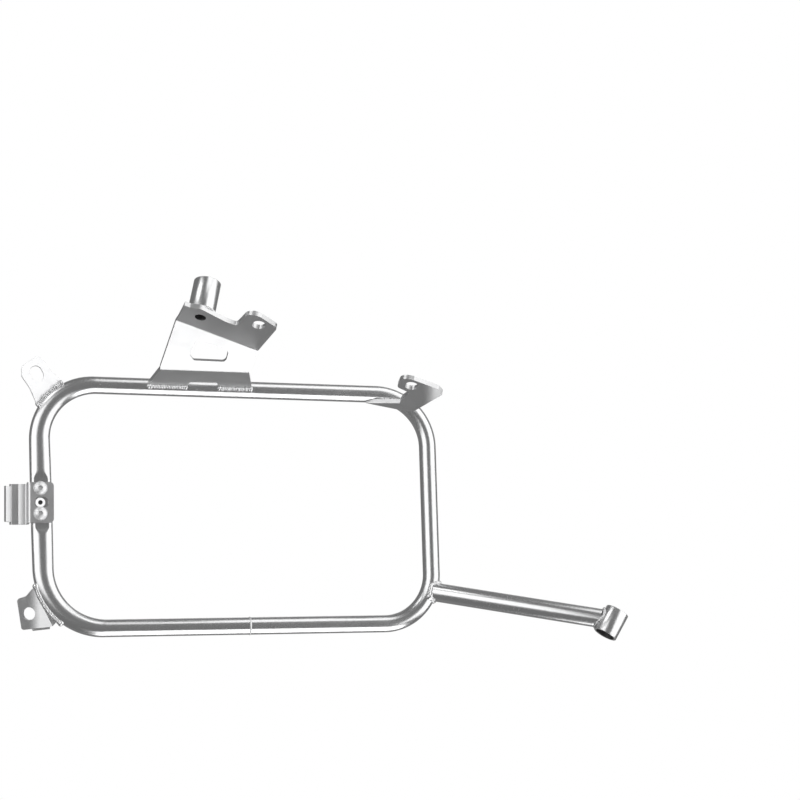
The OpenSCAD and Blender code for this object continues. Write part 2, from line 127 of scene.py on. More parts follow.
bushFrame = Matrix.Translation(bushAt) @ turned(0, bush["lean"], 0) @ turned(bush["tilt"], 0, 0)


def inMetres(p):
    # from the drawing's millimetres to the shared frame, whose origin is the middle of the bush
    return (Vector(p) - bushAt) / 1000


class Wire:
    # a shader socket that adds its own Math nodes when it is used in an expression
    def __init__(self, tree, socket):
        self.tree = tree
        self.socket = socket

    def maths(self, operation, *others):
        node = self.tree.nodes.new("ShaderNodeMath")
        node.operation = operation
        for slot, value in zip(node.inputs, (self,) + others):
            if isinstance(value, Wire):
                self.tree.links.new(value.socket, slot)
            else:
                slot.default_value = value
        return Wire(self.tree, node.outputs[0])

    def between(self, low, high):
        return self.maths("MAXIMUM", low).maths("MINIMUM", high)

    def __add__(self, other):
        return self.maths("ADD", other)

    def __mul__(self, other):
        return self.maths("MULTIPLY", other)

    def __sub__(self, other):
        return self.maths("SUBTRACT", other)

    def __rsub__(self, other):
        return (self * -1.0).maths("ADD", other)

    __radd__ = __add__
    __rmul__ = __mul__


def socketOf(node, key):
    # a socket by its name, or by its place as i0, i1 and so on
    if key[0] == "i" and key[1:].isdigit():
        return node.inputs[int(key[1:])]
    return node.inputs[key.replace("_", " ")]


class Finish:
    # the shader tree of a material or world, with one method for every node but Math
    def __init__(self, owner, output="ShaderNodeOutputMaterial"):
        owner.use_nodes = True
        self.owner = owner
        self.tree = owner.node_tree
        self.tree.nodes.clear()
        self.out = self.tree.nodes.new(output)

    def node(self, kind, settings=None, **sockets):
        node = self.tree.nodes.new(kind)
        for key, value in (settings or {}).items():
            setattr(node, key, value)
        for key, value in sockets.items():
            if isinstance(value, Wire):
                self.tree.links.new(value.socket, socketOf(node, key))
            else:
                socketOf(node, key).default_value = value
        return node

    def wire(self, node, output=0):
        return Wire(self.tree, node.outputs[output])

    def noise(self, place, scale, detail, rough):
        return self.wire(self.node("ShaderNodeTexNoise", {"noise_dimensions": "3D"}, Vector=place,
                                   Scale=scale, Detail=detail, Roughness=rough))

    def vector(self, operation, output=0, **sockets):
        return self.wire(self.node("ShaderNodeVectorMath", {"operation": operation}, **sockets), output)

    def surface(self, shader):
        self.tree.links.new(shader.outputs[0], self.out.inputs["Surface"])


# steel in its several finishes: colours are linear greys, and grains and patches are in millimetres
steels = {
    "satinTube": {
        "colour": 0.66, "vary": 0.10, "rough": 0.25, "roughVary": 0.10, "grain": 0.9,
        "drawn": 5.0, "bump": 0.05, "patch": 30},
    "pickledPlate": {
        "colour": 0.62, "vary": 0.14, "rough": 0.36, "roughVary": 0.14, "grain": 0.8,
        "drawn": 1.0, "bump": 0.10, "patch": 18},
    "blastedPlate": {
        "colour": 0.95, "vary": 0.04, "rough": 0.50, "roughVary": 0.10, "grain": 0.7,
        "drawn": 1.0, "bump": 0.10, "patch": 18, "lean": (-0.33, 0.0, 0.0)},
    "weldMetal": {
        "colour": 0.76, "vary": 0.18, "rough": 0.27, "roughVary": 0.16, "grain": 1.6,
        "drawn": 1.0, "bump": 0.22, "patch": 5},
    "clipSheet": {
        "colour": 0.70, "vary": 0.12, "rough": 0.38, "roughVary": 0.10, "grain": 0.7,
        "drawn": 4.0, "bump": 0.05, "patch": 16},
    "screwSteel": {
        "colour": 0.93, "vary": 0.05, "rough": 0.55, "roughVary": 0.08, "grain": 0.6,
        "drawn": 1.0, "bump": 0.04, "patch": 6},
    # painted shade: a near-black steel for the walls and floors of holes, where shade falls
    "paintedBoreShade": {
        "colour": 0.10, "vary": 0.30, "rough": 0.60, "roughVary": 0.10, "grain": 0.8,
        "drawn": 1.0, "bump": 0.10, "patch": 8},
}
# how strongly patches and grain show in colour, roughness and height, and the steel's faint blue
steelMix = {
    "patchShade": 1.6, "grainRough": 0.6, "grainHeight": 0.7, "patchHeight": 0.3, "fullHeight": 0.0004,
    "lightest": 0.95, "darkTint": (1.0, 1.003, 1.01), "lightTint": (1.0, 1.002, 1.006)}

# where a plate's shading curves over: past which place along a line, over what length, and which way (metres)
forward = (0.971, -0.236, -0.029)
rearward = (-1.0, 0.0, 0.0)
steels["cornerSteel"] = dict(steels["pickledPlate"], turnedOver=[
    {"along": forward, "start": -0.1932, "span": 0.0125, "by": (0.0, -0.30, 0.0)}])
steels["tabSteel"] = dict(steels["pickledPlate"], turnedOver=[
    {"along": forward, "start": -0.7000, "span": 0.0500, "by": (0.0, 0.0, -0.12)},
    {"along": forward, "start": -0.5930, "span": 0.0130, "by": (0.0, 0.0, 0.26)}])
steels["clipSheet"]["turnedOver"] = [
    {"along": rearward, "start": 0.5855, "span": 0.0085, "by": (-0.30, 0.0, 0.0)},
    {"along": rearward, "start": 0.5948, "span": 0.0006, "by": (0.30, 0.0, 0.0)},
    {"along": rearward, "start": 0.6022, "span": 0.0006, "by": (-0.36, 0.0, 0.0)}]


def tinted(grey, tint):
    return tuple(grey * part for part in tint) + (1,)


def steelFinish(name, look, alongTube=False):
    s, mix = steels[look], steelMix
    f = Finish(bpy.data.materials.new(name))
    place = f.wire(f.node("ShaderNodeTexCoord"), "UV" if alongTube else "Object")
    stretch = f.wire(f.node("ShaderNodeMapping", None, Vector=place, Scale=(1 / s["drawn"], 1.0, 1.0)))
    grain = f.noise(stretch, 1000 / s["grain"], 2.0, 0.6)
    patches = f.noise(place, 1000 / s["patch"], 4.0, 0.6)
    shade = (patches - 0.5) * (s["vary"] * mix["patchShade"]) + (grain - 0.5) * s["vary"] + 0.5
    dark, light = s["colour"] * (1 - s["vary"]), min(mix["lightest"], s["colour"] * (1 + s["vary"]))
    # a Mix node's colours are its sockets 6 and 7, and its mixed colour is its third output
    colour = f.wire(f.node("ShaderNodeMix", {"data_type": "RGBA", "clamp_factor": True}, i0=shade,
                           i6=tinted(dark, mix["darkTint"]), i7=tinted(light, mix["lightTint"])), 2)
    rough = s["rough"] + (patches - 0.5) * s["roughVary"]
    rough = rough + (grain - 0.5) * (s["roughVary"] * mix["grainRough"])
    height = (grain * mix["grainHeight"] + patches * mix["patchHeight"]) * (s["bump"] * mix["fullHeight"])
    if "lean" in s:
        # the face shades as if it were turned by this slope
        height = height + f.vector("DOT_PRODUCT", "Value", i0=place, i1=s["lean"])
    facing = f.wire(f.node("ShaderNodeBump", None, Strength=1.0, Distance=1.0, Height=height))
    for t in s.get("turnedOver", []):
        run = f.vector("DOT_PRODUCT", "Value", i0=place, i1=t["along"])
        share = ((run - t["start"]) * (1 / t["span"])).between(0.0, 1.0)
        tilt = f.vector("SCALE", i0=t["by"], i3=share)
        facing = f.vector("NORMALIZE", i0=f.vector("ADD", i0=facing, i1=tilt))
    f.surface(f.node("ShaderNodeBsdfPrincipled", None, Base_Color=colour, Metallic=1.0, Roughness=rough,
                     Normal=facing))
    return f.owner


finishes = {name: steelFinish(name, name) for name in steels}
finishes["drawnTube"] = steelFinish("drawnTube", "satinTube", True)
print("finishes made")


def adopt(piece, node):
    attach(piece, "root")
    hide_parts(node)


def meshPiece(name, points, faces, finish, node):
    mesh = bpy.data.meshes.new(name)
    mesh.from_pydata([tuple(p) for p in points], [], faces)
    mesh.shade_smooth()
    mesh.materials.append(finish)
    piece = bpy.data.objects.new(name, mesh)
    scene.collection.objects.link(piece)
    adopt(piece, node)
    return piece


def applied(piece):
    # the piece with its modifiers baked in, as a plain mesh
    view = bpy.context.evaluated_depsgraph_get()
    mesh = bpy.data.meshes.new_from_object(piece.evaluated_get(view))
    piece.modifiers.clear()
    old = piece.data
    piece.data = mesh
    mesh.name = piece.name
    if old.users == 0:
        bpy.data.meshes.remove(old)


# the hoop: one skin swept round the whole centre line, with the pressed stretch and the clip's flat
pressLength = bendLength(3) + bendLength(0) + straightLength(3)


def hoopStations():
    # each station's place along the run, its point and its heading; the run starts with the pressed stretch
    found, run = [], 0.0
    for i in (3, 0, 1, 2):
        length = bendLength(i)
        count = round(turn(i) / hoop["bendStep"])
        for k in range(count):
            angle = heading((i + 3) % 4) + turn(i) * k / count
            p = bendCentre(i) + hoop["bends"][i] * along(angle - 90)
            found.append((run + length * k / count, p, angle))
        run += length
        span = straightLength(i)
        count = round(span / hoop["pressStep" if i == 3 else "straightStep"])
        for k in range(count):
            p = corners[i] + (tangent(i) + span * k / count) * along(heading(i))
            found.append((run + span * k / count, p, heading(i)))
        run += span
    return found, run


def hoopSection(place):
    # half the tube's width in the hoop's plane, and half its depth across it
    inner = (place - hoop["plug"]) / (pressLength - 2 * hoop["plug"])
    squash = max(0.0, math.sin(math.pi * inner)) ** hoop["squashPower"] if 0 < inner < 1 else 0.0
    wide = hoop["tube"] + hoop["spread"] * squash
    return wide, math.sqrt(2 * hoop["tube"] ** 2 - wide ** 2)


def pressedDown(z, y):
    # the flat lies at its depth between its ends and ramps up beyond them
    ramp = max(0.0, hoop["flatFrom"] - y, y - hoop["flatTo"]) / hoop["rampRun"]
    soft = hoop["rampRound"]
    start = hoop["flatDepth"] + ramp - soft
    return z if z < start else start + soft * math.tanh((z - start) / soft)


def makeHoop():
    found, run = hoopStations()
    around = hoop["around"]
    rings = len(found)
    points, faces, uvs = [], [], []
    for place, p, angle in found:
        wide, deep = hoopSection(place)
        out = along(angle - 90)
        for k in range(around):
            t = 2 * math.pi * k / around
            x, y, z = p.x + wide * math.cos(t) * out.x, p.y + wide * math.cos(t) * out.y, deep * math.sin(t)
            if place < pressLength and z > 0:
                z = pressedDown(z, y)
            points.append(inMetres(flat @ Vector((x, y, z))))
    for j in range(rings):
        n = (j + 1) % rings
        a, b = found[j][0], found[n][0] if n else run
        for k in range(around):
            m = (k + 1) % around
            faces.append((j * around + k, n * around + k, n * around + m, j * around + m))
            v, w = k * hoop["girth"] / around, (k + 1) * hoop["girth"] / around
            uvs += [(a, v), (b, v), (b, w), (a, w)]
    piece = meshPiece("hoop_skin", points, faces, finishes["drawnTube"], "hoop_tube")
    layer = piece.data.uv_layers.new(name="run")
    for loop, (u, v) in zip(layer.data, uvs):
        loop.uv = (u / 1000, v / 1000)
    return piece


hoopSkin = makeHoop()
print("hoop made")

# turned pieces: a profile of (radius, height) points spun round its frame's third axis
lathe = {"around": 96, "rimSteps": 3, "near": 2e-6, "crispOver": 32}


def tidyNormals(piece):
    build = bmesh.new()
    build.from_mesh(piece.data)
    bmesh.ops.remove_doubles(build, verts=build.verts, dist=lathe["near"])
    bmesh.ops.recalc_face_normals(build, faces=build.faces)
    build.to_mesh(piece.data)
    build.free()


def sharpen(piece, angle):
    # smooth shading that stays crisp at edges sharper than the angle
    piece.data.shade_smooth()
    piece.data.set_sharp_from_angle(angle=math.radians(angle))


def spun(name, frameAt, profile, node):
    around, count = lathe["around"], len(profile)
    points, faces = [], []
    for radius, height in profile:
        for k in range(around):
            t = 2 * math.pi * k / around
            points.append(inMetres(frameAt @ Vector((radius * math.cos(t), radius * math.sin(t), height))))
    for j in range(count):
        n = (j + 1) % count
        for k in range(around):
            m = (k + 1) % around
            faces.append((j * around + k, j * around + m, n * around + m, n * around + k))
    piece = meshPiece(name, points, faces, finishes["satinTube"], node)
    tidyNormals(piece)
    sharpen(piece, lathe["crispOver"])
    return piece


def rim(radius, height, inward, down, edge):
    # a rounded edge of a ring, from its side to its end face
    made = []
    for k in range(lathe["rimSteps"] + 1):
        t = math.pi / 2 * k / lathe["rimSteps"]
        made.append((radius + inward * edge * (1 - math.cos(t)), height + down * edge * (1 - math.sin(t))))
    return made


def ringProfile(outer, inner, low, high, edge):
    return (rim(outer, high, -1, -1, edge) + rim(inner, high, 1, -1, edge)[::-1]
            + rim(inner, low, 1, 1, edge) + rim(outer, low, -1, 1, edge)[::-1])


# how squarely a face has to look at the hole's middle, or up, to count as its wall or its floor
inside = {"wall": 0.5, "floor": 0.9}


def darkInside(piece, frameAt, radius, centres=((0, 0),), floorBelow=None):
    # painted shade: the walls of deep holes take the near-black finish, and so does the floor of a blind one
    piece.data.materials.append(finishes["paintedBoreShade"])
    back = frameAt.inverted()
    spin = back.to_3x3()
    for face in piece.data.polygons:
        p = back @ (face.center * 1000 + bushAt)
        n = spin @ face.normal
        for cx, cy in centres:
            x, y = p.x - cx, p.y - cy
            wall = x * n.x + y * n.y < -inside["wall"] * math.hypot(x, y)
            bottom = floorBelow and p.z < floorBelow and n.z > inside["floor"]
            if math.hypot(x, y) < radius and (wall or bottom):
                face.material_index = 1


stayEnd = stay["length"] - stay["coped"]
stayProfile = ringProfile(stay["outer"], stay["inner"], stay["start"], stayEnd, stay["edge"])
spun("stay_pipe", stayFrame, stayProfile, "stay_tube")
bushProfile = ringProfile(bush["outer"], bush["inner"], -bush["half"], bush["half"], bush["edge"])
# painted shade in the bores of the bush and the spacer
darkInside(spun("bush_ring", bushFrame, bushProfile, "stay_bush"), bushFrame, bush["darkTo"])
spacerProfile = ringProfile(spacer["outer"], spacer["inner"], -spacer["length"], 0.0, spacer["edge"])
darkInside(spun("spacer_ring", boltFrame, spacerProfile, "spacer_tube"), boltFrame, spacer["darkTo"])
print("turned pieces made")

# plates: each copy of a node is merged, its flat faces joined again, and its edges broken
plates = {
    "top_bracket": {"edge": 0.45, "finish": "pickledPlate", "slot": "plate_steel"},
    "corner_plate": {"edge": 0.45, "finish": "cornerSteel", "slot": "plate_steel"},
    "upper_tab": {"edge": 0.40, "finish": "blastedPlate", "slot": "plate_steel"},
    "lower_tab": {"edge": 0.40, "finish": "tabSteel", "slot": "plate_steel"},
    "clip_plate": {"edge": 0.30, "finish": "clipSheet", "slot": "clip_steel"},
    "clip_screws": {"edge": 0.25, "finish": "screwSteel", "slot": "screw_steel"},
    "clip_rivet": {"edge": 0.30, "finish": "blastedPlate", "slot": "screw_steel"},
}
# the outline's corners that are filed rounder, each between the points before and after it
flangeFaces = (-bracket["thick"], 0)
plateFaces = (0, cornerPlate["thick"])
filed = {
    "top_bracket": [
        {"on": flangeFrame, "before": (66, 65.7), "corner": (51.04, 68.45), "after": (52.4, 32.7),
         "radius": 10, "faces": flangeFaces},
        {"on": flangeFrame, "before": (91.7, 0), "corner": (87.1, 57.6), "after": (66, 65.7),
         "radius": 7, "faces": flangeFaces}],
    "corner_plate": [
        {"on": cornerFrame, "before": (-17.4, 71.1), "corner": (-30.64, 69.4), "after": (-28.6, 47),
         "radius": 9, "faces": plateFaces},
        {"on": cornerFrame, "before": (-30.64, 69.4), "corner": (-28.6, 47), "after": (-12.8, 41.8),
         "radius": 6, "faces": plateFaces}],
}
file = {"steps": 10, "past": 3, "out": 4, "through": 1}
edges = {"near": 4e-6, "flatTo": 1.0, "brokenOver": 38, "crispOver": 36, "segments": 2}
# in square metres: a face this wide keeps its own direction, and a smaller one follows those of its kind
evenFaces = {"wide": 6e-5, "least": 4e-6, "times": 8}


def fileCorner(piece, on, before, corner, after, radius, faces):
    # cuts away what lies outside an arc that touches both sides of the corner
    c = Vector(corner)
    u, v = (Vector(before) - c).normalized(), (Vector(after) - c).normalized()
    half = u.angle(v) / 2
    middle = (u + v).normalized()
    centre = c + middle * (radius / math.sin(half))
    first, last = c + u * radius / math.tan(half), c + v * radius / math.tan(half)
    a, b = first - centre, last - centre
    sweep = a.angle(b)
    shares = [k / file["steps"] for k in range(file["steps"] + 1)]
    arc = [centre + (a * math.sin((1 - s) * sweep) + b * math.sin(s * sweep)) / math.sin(sweep)
           for s in shares]
    ring = [last - middle * file["past"], c - middle * file["out"], first - middle * file["past"]] + arc
    cutter = bmesh.new()
    rows = [[cutter.verts.new(inMetres(on @ Vector((p.x, p.y, z)))) for p in ring]
            for z in (faces[0] - file["through"], faces[1] + file["through"])]
    count = len(ring)
    cutter.faces.new(rows[0])
    cutter.faces.new(rows[1])
    for k in range(count):
        n = (k + 1) % count
        cutter.faces.new((rows[0][k], rows[0][n], rows[1][n], rows[1][k]))
    bmesh.ops.recalc_face_normals(cutter, faces=cutter.faces)
    mesh = bpy.data.meshes.new("file")
    cutter.to_mesh(mesh)
    cutter.free()
    tool = bpy.data.objects.new("file", mesh)
    scene.collection.objects.link(tool)
    cut = piece.modifiers.new("file", "BOOLEAN")
    cut.operation = "DIFFERENCE"
    cut.solver = "EXACT"
    cut.object = tool
    applied(piece)
    bpy.data.objects.remove(tool)
    bpy.data.meshes.remove(mesh)


def facesRound(loop):
    # the faces at this corner that are reached without crossing a crisp edge
    found, todo = {loop.face}, [loop.face]
    while todo:
        for edge in todo.pop().edges:
            if edge.smooth and loop.vert in edge.verts:
                todo += [face for face in edge.link_faces if face not in found]
                found.update(edge.link_faces)
    return found


def evenShading(mesh):
    # the wide faces keep their own direction and only the broken edges and the bends shade round
    build = bmesh.new()
    build.from_mesh(mesh)
    areas = {face: face.calc_area() for face in build.faces}
    normals = [None] * len(mesh.loops)
    for face in build.faces:
        limit = evenFaces["times"] * max(areas[face], evenFaces["least"])
        for loop in face.loops:
            direction = face.normal.copy()
            if areas[face] < evenFaces["wide"]:
                near = [other.normal * areas[other] for other in facesRound(loop) if areas[other] < limit]
                direction = sum(near, face.normal * 1e-9).normalized()
            normals[loop.index] = direction
    build.free()
    if "custom_normal" in mesh.attributes:
        mesh.attributes.remove(mesh.attributes["custom_normal"])
    mesh.attributes.new("custom_normal", "FLOAT_VECTOR", "CORNER")
    mesh.attributes["custom_normal"].data.foreach_set("vector", [c for n in normals for c in n])


def brokenEdges(name):
    plate = plates[name]
    mesh = nodes[name].data.copy()
    build = bmesh.new()
    build.from_mesh(mesh)
    bmesh.ops.remove_doubles(build, verts=build.verts, dist=edges["near"])
    bmesh.ops.dissolve_degenerate(build, edges=build.edges, dist=edges["near"])
    bmesh.ops.dissolve_limit(build, angle_limit=math.radians(edges["flatTo"]), verts=build.verts,
                             edges=build.edges)
    build.to_mesh(mesh)
    build.free()
    mesh.materials.clear()
    mesh.materials.append(finishes[plate["finish"]])
    piece = bpy.data.objects.new(name + "_dressed", mesh)
    scene.collection.objects.link(piece)
    for corner in filed.get(name, []):
        fileCorner(piece, **corner)
    bevel = piece.modifiers.new("edge", "BEVEL")
    bevel.width = plate["edge"] / 1000
    bevel.segments = edges["segments"]
    bevel.limit_method = "ANGLE"
    bevel.angle_limit = math.radians(edges["brokenOver"])
    bevel.miter_outer = "MITER_ARC"
    applied(piece)
    sharpen(piece, edges["crispOver"])
    evenShading(piece.data)
    adopt(piece, name)
    return piece


dressed = {name: brokenEdges(name) for name in plates}
sockets = [(clip["screwAcross"], y) for y in clip["screwsAt"]]
rivetAt = [(clip["screwAcross"], 0)]
# painted shade in the screws' sockets, in the rivet's bore, and on the hoop at the bottom of that bore
darkInside(dressed["clip_screws"], clipFrame, clip["socket"], sockets)
darkInside(dressed["clip_rivet"], clipFrame, clip["rivetBore"], rivetAt)
darkInside(hoopSkin, clipFrame, clip["rivetBore"], rivetAt, clip["boreFloor"])
print("plates made")

# weld beads: flattened drops laid one over the next along a seam
drops = {"segments": 14, "rings": 9, "least": (-0.22, -0.22, -0.3), "most": (0.22, 0.22, 0.3)}


def beadTree():
    tree = bpy.data.node_groups.new("weldBead", "GeometryNodeTree")
    face = tree.interface
    face.new_socket("Seam", in_out="INPUT", socket_type="NodeSocketGeometry")
    for label, value in (("Radius", 0.0024), ("Pitch", 0.0015), ("Ripple", 0.62), ("Uneven", 0.12)):
        face.new_socket(label, in_out="INPUT", socket_type="NodeSocketFloat").default_value = value
    face.new_socket("Seed", in_out="INPUT", socket_type="NodeSocketInt").default_value = 1
    face.new_socket("Metal", in_out="INPUT", socket_type="NodeSocketMaterial")
    face.new_socket("Bead", in_out="OUTPUT", socket_type="NodeSocketGeometry")

    def add(kind, settings=None, output=0, **sockets):
        node = tree.nodes.new(kind)
        for key, value in (settings or {}).items():
            setattr(node, key, value)
        for key, value in sockets.items():
            if isinstance(value, bpy.types.NodeSocket):
                tree.links.new(value, socketOf(node, key))
            else:
                socketOf(node, key).default_value = value
        return node.outputs[output] if len(node.outputs) else node

    given = tree.nodes.new("NodeGroupInput").outputs
    laid = add("GeometryNodeResampleCurve", {"mode": "LENGTH"}, Curve=given["Seam"], Length=given["Pitch"])
    spots = add("GeometryNodeCurveToPoints", {"mode": "EVALUATED"}, Curve=laid).node.outputs
    drop = add("GeometryNodeMeshUVSphere", None, Segments=drops["segments"], Rings=drops["rings"],
               Radius=1.0)
    least = add("ShaderNodeMath", {"operation": "SUBTRACT"}, i0=1.0, i1=given["Uneven"])
    most = add("ShaderNodeMath", {"operation": "ADD"}, i0=1.0, i1=given["Uneven"])
    size = add("FunctionNodeRandomValue", {"data_type": "FLOAT"}, "Value", Min=least, Max=most,
               Seed=given["Seed"])
    swell = add("ShaderNodeMath", {"operation": "MULTIPLY"}, i0=size, i1=add("GeometryNodeInputRadius"))
    wide = add("ShaderNodeMath", {"operation": "MULTIPLY"}, i0=given["Radius"], i1=swell)
    thin = add("ShaderNodeMath", {"operation": "MULTIPLY"}, i0=wide, i1=given["Ripple"])
    scale = add("ShaderNodeCombineXYZ", None, X=wide, Y=wide, Z=thin)
    shake = add("FunctionNodeRandomValue", {"data_type": "FLOAT_VECTOR"}, i0=drops["least"],
                i1=drops["most"], Seed=given["Seed"])
    lean = add("FunctionNodeRotateRotation", {"rotation_space": "LOCAL"}, i0=spots["Rotation"], i1=shake)
    laidDrops = add("GeometryNodeInstanceOnPoints", None, Points=spots["Points"], Instance=drop,
                    Rotation=lean, Scale=scale)
    real = add("GeometryNodeRealizeInstances", None, Geometry=laidDrops)
    soft = add("GeometryNodeSetShadeSmooth", None, Geometry=real)
    metal = add("GeometryNodeSetMaterial", None, Geometry=soft, Material=given["Metal"])
    add("NodeGroupOutput", None, i0=metal)
    return tree


bead = beadTree()
beadInputs = {item.name: item.identifier for item in bead.interface.items_tree if item.in_out == "INPUT"}
beadEnds = {"swell": 0.3, "over": 3.0}  # how much an open bead swells at its ends, and over what length


def layBead(name, path, on, radius, pitch, seed, ripple, uneven, closed=False, taper=1.0):
    line = bpy.data.curves.new(name, "CURVE")
    line.dimensions = "3D"
    spline = line.splines.new("POLY")
    spline.points.add(len(path) - 1)
    spline.use_cyclic_u = closed
    length = sum((b - a).length for a, b in zip(path, path[1:]))
    run = 0.0
    for k, (point, p) in enumerate(zip(spline.points, path)):
        point.co = (*inMetres(p), 1)
        run += (p - path[k - 1]).length if k else 0.0
        nearEnd = 0.0 if closed else max(0.0, 1 - min(run, length - run) / beadEnds["over"])
        point.radius = (1 + beadEnds["swell"] * nearEnd) * (1 + (taper - 1) * run / length)
    seam = bpy.data.objects.new(name + "_seam", line)
    scene.collection.objects.link(seam)
    maker = seam.modifiers.new("bead", "NODES")
    maker.node_group = bead
    values = {"Radius": radius / 1000, "Pitch": pitch / 1000, "Ripple": ripple, "Uneven": uneven,
              "Seed": seed, "Metal": finishes["weldMetal"]}
    for label, value in values.items():
        maker[beadInputs[label]] = value
    view = bpy.context.evaluated_depsgraph_get()
    mesh = bpy.data.meshes.new_from_object(seam.evaluated_get(view))
    mesh.name = name
    # the curve leaves an empty slot before the metal's
    mesh.materials.clear()
    mesh.materials.append(finishes["weldMetal"])
    mesh.polygons.foreach_set("material_index", [0] * len(mesh.polygons))
    seam.modifiers.remove(maker)
    bpy.data.objects.remove(seam)
    bpy.data.curves.remove(line)
    piece = bpy.data.objects.new(name, mesh)
    scene.collection.objects.link(piece)
    adopt(piece, on)


# how far the beads' lines lie off the edges that they follow, and in how many steps
seams = {
    "ring": 72, "footOff": 0.4, "tabOut": 10.0, "tabUp": 2.2, "tabSteps": 30, "buttRadius": 8.1,
    "spacerRing": 96, "spacerOff": 0.3, "edgeSteps": 10,
    "edge": [(-54, -5.8, 7.2), (-47, -4.4, 7.4), (-36, -1.4, 7.2), (-26, 2.0, 7.0), (-16, 7.2, 6.4)],
    "blob": [(400.2, -7.6, 27.2), (400.9, -7.6, 28.3), (401.6, -7.6, 29.4)]}


def ringPath(frameAt, radius, height, count):
    turns = [2 * math.pi * k / count for k in range(count)]
    return [frameAt @ Vector((radius * math.cos(t), radius * math.sin(t), height)) for t in turns]


def footPath(start, length):
    # along the lower fold's foot, a little in front of the plate's edge
    return [footFrame @ Vector((start + k, seams["footOff"], seams["footOff"])) for k in range(length)]


def bendPath(i, start, sweep):
    # along a tab's foot, just outside the bend and towards the viewer
    steps = seams["tabSteps"]
    angles = [start + sweep * k / steps for k in range(steps + 1)]
    return [bendPoint(i, angle, seams["tabOut"], seams["tabUp"]) for angle in angles]


def hoopReach(p):
    # how far a point is from the lower front bend's centre line
    q = flat.inverted() @ p
    c = bendCentre(1)
    return math.hypot(math.hypot(q.x - c.x, q.y - c.y) - hoop["bends"][1], q.z)


def bushReach(p):
    q = bushFrame.inverted() @ p
    return math.hypot(q.x, q.y)


def saddlePath(radius, start, step, reach, limit):
    # where a tube of this radius round the stay's line meets a surface
    path = []
    for k in range(seams["ring"]):
        t = 2 * math.pi * k / seams["ring"]
        x, y, s = radius * math.cos(t), radius * math.sin(t), start
        while reach(stayFrame @ Vector((x, y, s))) < limit:
            s += step
        path.append(stayFrame @ Vector((x, y, s)))
    return path


def cornerPath():
    # along the corner plate's edge, on its upper face and a little past its rear tip
    stops = [Vector(s) for s in seams["edge"]]
    steps = seams["edgeSteps"]
    path = []
    for a, b in zip(stops, stops[1:]):
        path += [cornerFrame @ a.lerp(b, k / steps) for k in range(steps)]
    return path + [cornerFrame @ stops[-1]]


buttFrame = moved(hoop["weldAt"], 0, 0) @ turned(0, 90, 0)
buttRing = ringPath(buttFrame, seams["buttRadius"], 0, seams["ring"])
spacerRing = ringPath(boltFrame, spacer["outer"], -seams["spacerOff"], seams["spacerRing"])
blobPath = [Vector(p) for p in seams["blob"]]
beads = {
    "butt_bead": {
        "path": buttRing, "on": "hoop_butt_weld",
        "radius": 1.35, "pitch": 0.8, "seed": 3, "ripple": 0.8, "uneven": 0.05, "closed": True},
    "rear_foot_bead": {
        "path": footPath(start=-7, length=39), "on": "bracket_weld_rear",
        "radius": 2.7, "pitch": 1.7, "seed": 5, "ripple": 0.6, "uneven": 0.16},
    "front_foot_bead": {
        "path": footPath(start=66.5, length=34), "on": "bracket_weld_front",
        "radius": 2.7, "pitch": 1.7, "seed": 8, "ripple": 0.6, "uneven": 0.16},
    "spacer_bead": {
        "path": spacerRing, "on": "spacer_weld",
        "radius": 1.7, "pitch": 1.5, "seed": 11, "ripple": 0.62, "uneven": 0.12, "closed": True},
    "upper_tab_bead": {
        "path": bendPath(3, start=120.5, sweep=29), "on": "upper_tab_weld",
        "radius": 3.0, "pitch": 2.0, "seed": 13, "ripple": 0.42, "uneven": 0.10},
    "lower_tab_bead": {
        "path": bendPath(0, start=195.5, sweep=36), "on": "lower_tab_weld",
        "radius": 2.8, "pitch": 1.3, "seed": 17, "ripple": 0.8, "uneven": 0.08},
    "root_bead": {
        "path": saddlePath(radius=10.3, start=4.0, step=0.1, reach=hoopReach, limit=9.4),
        "on": "stay_root_weld",
        "radius": 2.2, "pitch": 1.3, "seed": 19, "ripple": 0.8, "uneven": 0.10, "closed": True},
    "root_blob": {
        "path": blobPath, "on": "stay_root_weld",
        "radius": 3.3, "pitch": 0.7, "seed": 21, "ripple": 0.9, "uneven": 0.04},
    "bush_bead": {
        "path": saddlePath(radius=10.2, start=192.0, step=-0.1, reach=bushReach, limit=12.9),
        "on": "stay_bush_weld",
        "radius": 1.7, "pitch": 1.0, "seed": 23, "ripple": 0.8, "uneven": 0.10, "closed": True},
    "corner_bead": {
        "path": cornerPath(), "on": "corner_plate_weld",
        "radius": 2.3, "pitch": 1.6, "seed": 29, "ripple": 0.55, "uneven": 0.14, "taper": 0.55},
}
for name, d in beads.items():
    layBead(name, **d)
print("weld beads laid")

# the camera stands where the photograph was taken, in metres and degrees
shot = {
    "place": (-0.731431, -2.072310, -0.111021), "angles": (99.08594, 1.68506, -13.67815),
    "lens": 95.19, "sensor": 36, "clipEnd": 100}
eye = bpy.data.cameras.new("camera")
eye.lens = shot["lens"]
eye.sensor_width = shot["sensor"]
eye.clip_end = shot["clipEnd"]
camera = bpy.data.objects.new("camera", eye)
camera.location = shot["place"]
camera.rotation_euler = Euler([math.radians(a) for a in shot["angles"]])
scene.collection.objects.link(camera)
scene.camera = camera

# the studio, in metres: a pale floor and white surround, and a dim room that only shows in the steel
studio = {
    "middle": (-0.30, 0.05, 0.10), "floorDrop": 0.62, "floorSize": 17.0, "floorShade": 0.82, "fadeFrom": 0.6,
    "fadeTo": 2.6, "surround": 0.80, "roomRadius": 7.0, "roomShade": 0.22, "boxRadius": 6.0, "boxGap": 0.06,
    "patchStep": 4}
lamp = {"place": (-0.2, 0.1, 2.3), "size": 1.2, "watts": 42.0}
